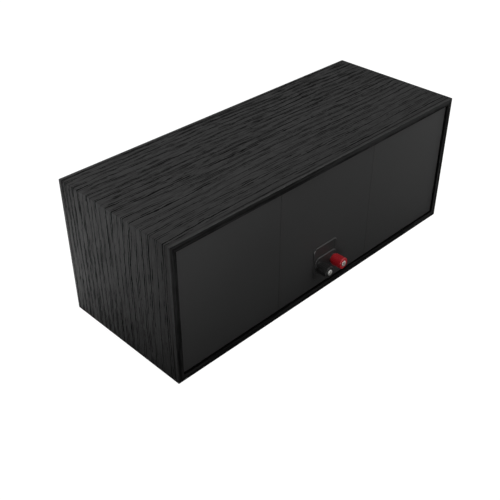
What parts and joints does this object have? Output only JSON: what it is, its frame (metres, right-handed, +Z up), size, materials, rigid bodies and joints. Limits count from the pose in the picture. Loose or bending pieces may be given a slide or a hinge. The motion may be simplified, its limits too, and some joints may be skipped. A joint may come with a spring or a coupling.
{
  "type": "center channel speaker",
  "caption": "Low, wide sealed loudspeaker box in black ash wood grain with cone drivers either side of a dome driver and red and black binding posts on the rear.",
  "frame": {"origin": "centre of the cabinet's bottom face", "axes": "+X along the cabinet's width, -Y out of the front baffle, +Y out of the rear panel, +Z up"},
  "size_m": [0.47, 0.1986, 0.175],
  "materials": {
    "ash_vinyl": "black ash wood-grain vinyl wrap over fibreboard",
    "baffle_satin": "satin black laminate on fibreboard",
    "rear_satin": "satin black laminate on fibreboard",
    "fibreboard": "bare fibreboard",
    "frame_black": "fine textured black",
    "cone_black": "matte black injected cone",
    "cap_black": "satin black",
    "roll_rubber": "matte black rubber",
    "spider_cloth": "resin-treated cloth",
    "coil_wire": "wound wire on a former",
    "steel_plate": "zinc-plated steel",
    "ferrite": "ferrite",
    "screw_black": "black oxide",
    "faceplate_plastic": "satin black moulding",
    "dome_metal": "satin aluminium",
    "terminal_plastic": "moulded black",
    "post_nickel": "nickel plate",
    "post_red": "moulded red",
    "post_black": "moulded black",
    "board_green": "circuit board",
    "spacer_white": "moulded",
    "copper_wire": "enamelled winding",
    "capacitor_film": "wrapped film",
    "resistor_ceramic": "cement",
    "lead_sheath": "insulated lead",
    "wadding": "polyester wadding"
  },
  "bodies": {
    "cabinet": {"top_panel": "ash_vinyl", "bottom_panel": "ash_vinyl", "left_panel": "ash_vinyl", "right_panel": "ash_vinyl", "front_baffle": "baffle_satin", "rear_panel": "rear_satin", "left_brace": "fibreboard", "right_brace": "fibreboard", "woofer_screws": "screw_black", "tweeter_screws": "screw_black", "tweeter_faceplate": "faceplate_plastic", "tweeter_surround": "roll_rubber", "tweeter_top_plate": "steel_plate", "tweeter_magnet": "ferrite", "tweeter_yoke": "steel_plate", "tweeter_rear_cup": "faceplate_plastic", "terminal_plate": "terminal_plastic", "red_post": "post_nickel", "black_post": "post_nickel", "red_collar": "terminal_plastic", "black_collar": "terminal_plastic", "post_nuts_and_tags": "post_nickel", "crossover_board": "board_green", "board_standoffs": "spacer_white", "board_screws": "steel_plate", "woofer_inductor": "copper_wire", "tweeter_inductor": "copper_wire", "capacitors": "capacitor_film", "resistors": "resistor_ceramic", "input_leads": "lead_sheath", "tweeter_leads": "lead_sheath", "left_woofer_leads": "lead_sheath", "right_woofer_leads": "lead_sheath", "left_damping_pad": "wadding", "right_damping_pad": "wadding", "left_woofer_basket": "frame_black", "left_woofer_surround": "roll_rubber", "left_woofer_spider": "spider_cloth", "left_woofer_top_plate": "steel_plate", "left_woofer_magnet": "ferrite", "left_woofer_yoke": "steel_plate", "right_woofer_basket": "frame_black", "right_woofer_surround": "roll_rubber", "right_woofer_spider": "spider_cloth", "right_woofer_top_plate": "steel_plate", "right_woofer_magnet": "ferrite", "right_woofer_yoke": "steel_plate"},
    "left_woofer_motion": {"left_woofer_cone": "cone_black", "left_woofer_dust_cap": "cap_black", "left_woofer_voice_coil": "coil_wire"},
    "right_woofer_motion": {"right_woofer_cone": "cone_black", "right_woofer_dust_cap": "cap_black", "right_woofer_voice_coil": "coil_wire"},
    "tweeter_motion": {"tweeter_dome": "dome_metal", "tweeter_voice_coil": "coil_wire"},
    "red_clamp": {"red_washer": "post_nickel"},
    "red_knob": {"red_cap": "post_red"},
    "black_clamp": {"black_washer": "post_nickel"},
    "black_knob": {"black_cap": "post_black"}
  },
  "joints": [
    {"name": "left_woofer_travel", "type": "slide", "parent": "cabinet", "child": "left_woofer_motion", "axis": [0, -1, 0], "range_m": [-0.004, 0.004], "stiffness_N_per_m": 1500, "deforming": ["left_woofer_surround", "left_woofer_spider"]},
    {"name": "right_woofer_travel", "type": "slide", "parent": "cabinet", "child": "right_woofer_motion", "axis": [0, -1, 0], "range_m": [-0.004, 0.004], "stiffness_N_per_m": 1500, "deforming": ["right_woofer_surround", "right_woofer_spider"]},
    {"name": "tweeter_travel", "type": "slide", "parent": "cabinet", "child": "tweeter_motion", "axis": [0, -1, 0], "range_m": [-0.0004, 0.0004], "stiffness_N_per_m": 3000, "deforming": ["tweeter_surround"]},
    {"name": "red_clamp_lift", "type": "slide", "parent": "cabinet", "child": "red_clamp", "axis": [0, 1, 0], "range_m": [0, 0.004]},
    {"name": "red_cap_turn", "type": "hinge", "parent": "red_clamp", "child": "red_knob", "pos_m": [-0.0127, 0.0995, 0.0381], "axis": [0, 1, 0], "range_deg": [0, 1440.5]},
    {"name": "black_clamp_lift", "type": "slide", "parent": "cabinet", "child": "black_clamp", "axis": [0, 1, 0], "range_m": [0, 0.004]},
    {"name": "black_cap_turn", "type": "hinge", "parent": "black_clamp", "child": "black_knob", "pos_m": [0.0127, 0.0995, 0.0381], "axis": [0, 1, 0], "range_deg": [0, 1440.5]}
  ],
  "couplings": [
    {"joint": "red_cap_turn", "follows": "red_clamp_lift", "rad_per_m": 6283.2},
    {"joint": "black_cap_turn", "follows": "black_clamp_lift", "rad_per_m": 6283.2}
  ]
}
